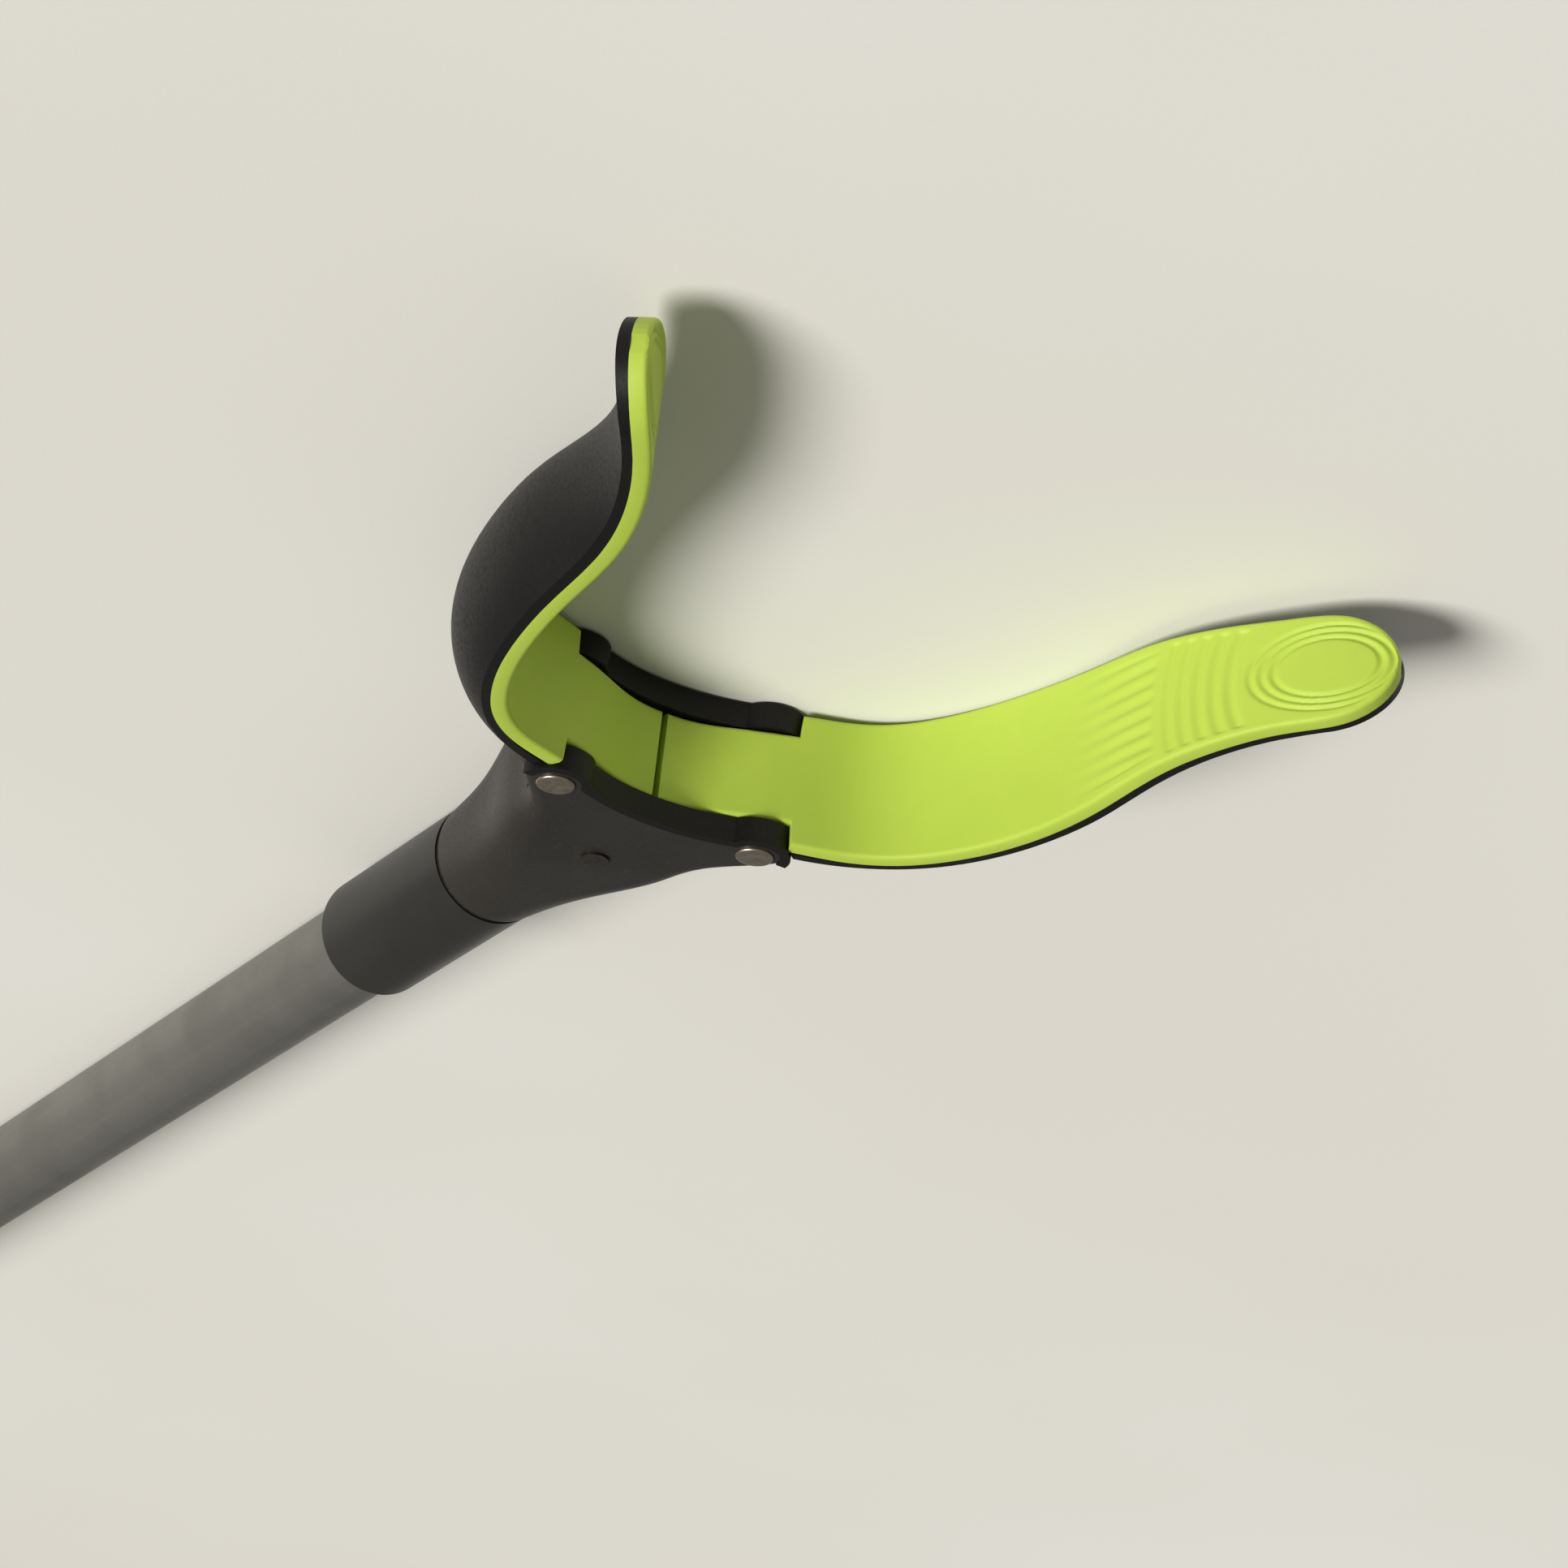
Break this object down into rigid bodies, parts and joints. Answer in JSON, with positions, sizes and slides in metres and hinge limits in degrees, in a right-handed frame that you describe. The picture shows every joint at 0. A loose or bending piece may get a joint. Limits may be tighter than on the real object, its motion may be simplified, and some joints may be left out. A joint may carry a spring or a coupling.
{
  "type": "rotating-head reacher",
  "caption": "Pick-up reacher with a long metal tube, pistol grip and trigger, and a swivelling head with spoon-shaped, soft-lined jaws.",
  "frame": {"origin": "centre of the hang hole through the handle's butt, on the tube's axis and the tool's middle plane", "axes": "+X along the tube to the jaw tips, +Z through the thickness, square to the plane in which jaws and trigger move; the grip hangs towards -Y"},
  "size_m": [0.813, 0.1785, 0.0274],
  "materials": {
    "dark_metal": "satin anodised",
    "black_collar": "satin",
    "grey_shell": "fine satin",
    "black_plastic": "satin",
    "black_trim": "soft matt",
    "lime_soft": "soft matt",
    "trigger_grey": "satin",
    "pale_nylon": "matt",
    "steel": "brushed",
    "bronze_steel": "burnished"
  },
  "bodies": {
    "handle_and_tube": {"tube": "dark_metal", "collar": "black_collar", "swivel_core": "pale_nylon", "swivel_washer": "pale_nylon", "detent_leaf": "steel", "rod_bush": "pale_nylon", "spring_seat": "pale_nylon", "return_spring": "steel", "handle_upper": "black_plastic", "handle_lower": "black_plastic", "grip_pad_upper": "black_trim", "grip_pad_lower": "black_trim", "handle_screws": "steel", "trigger_pin": "steel", "tube_pin": "steel"},
    "trigger_lever": {"trigger": "trigger_grey", "trigger_pad": "lime_soft"},
    "rod_assembly": {"pull_rod": "steel", "rod_knob": "steel", "rod_clevis": "pale_nylon", "clevis_pin": "steel"},
    "swivel_head": {"bracket_upper": "grey_shell", "bracket_lower": "grey_shell", "rim_upper": "black_trim", "rim_lower": "black_trim", "guide_upper": "pale_nylon", "guide_lower": "pale_nylon", "centre_screws": "steel", "pivot_rivet_left": "bronze_steel", "pivot_rivet_right": "bronze_steel"},
    "crosshead": {"yoke": "pale_nylon"},
    "left_jaw": {"jaw_back_left": "black_plastic", "jaw_liner_left": "lime_soft", "crank_pin_left": "steel"},
    "right_jaw": {"jaw_back_right": "black_plastic", "jaw_liner_right": "lime_soft", "crank_pin_right": "steel"}
  },
  "joints": [
    {"name": "trigger_squeeze", "type": "hinge", "parent": "handle_and_tube", "child": "trigger_lever", "pos_m": [0.076, 0.01925, 0], "axis": [0, 0, -1], "range_deg": [0, 28], "stiffness_Nm_per_rad": 0.8, "springref_deg": -14.32},
    {"name": "rod_pull", "type": "slide", "parent": "handle_and_tube", "child": "rod_assembly", "axis": [-1, 0, 0], "range_m": [0, 0.0096], "deforming": ["return_spring"]},
    {"name": "head_swivel", "type": "hinge", "parent": "handle_and_tube", "child": "swivel_head", "pos_m": [0.64, 0, 0], "axis": [1, 0, 0], "range_deg": [0, 90], "deforming": ["detent_leaf"]},
    {"name": "yoke_slide", "type": "slide", "parent": "swivel_head", "child": "crosshead", "axis": [-1, 0, 0], "range_m": [0, 0.0096]},
    {"name": "jaw_left_close", "type": "hinge", "parent": "swivel_head", "child": "left_jaw", "pos_m": [0.6945, 0.0196, 0], "axis": [0, 0, -1], "range_deg": [0, 32.9]},
    {"name": "jaw_right_close", "type": "hinge", "parent": "swivel_head", "child": "right_jaw", "pos_m": [0.6945, -0.0196, 0], "axis": [0, 0, 1], "range_deg": [0, 32.9]}
  ],
  "couplings": [
    {"joint": "rod_pull", "follows": "trigger_squeeze", "m_per_rad": 0.01964},
    {"joint": "yoke_slide", "follows": "trigger_squeeze", "m_per_rad": 0.01964},
    {"joint": "jaw_left_close", "follows": "trigger_squeeze", "ratio": 1.1749},
    {"joint": "jaw_right_close", "follows": "trigger_squeeze", "ratio": 1.1749}
  ]
}
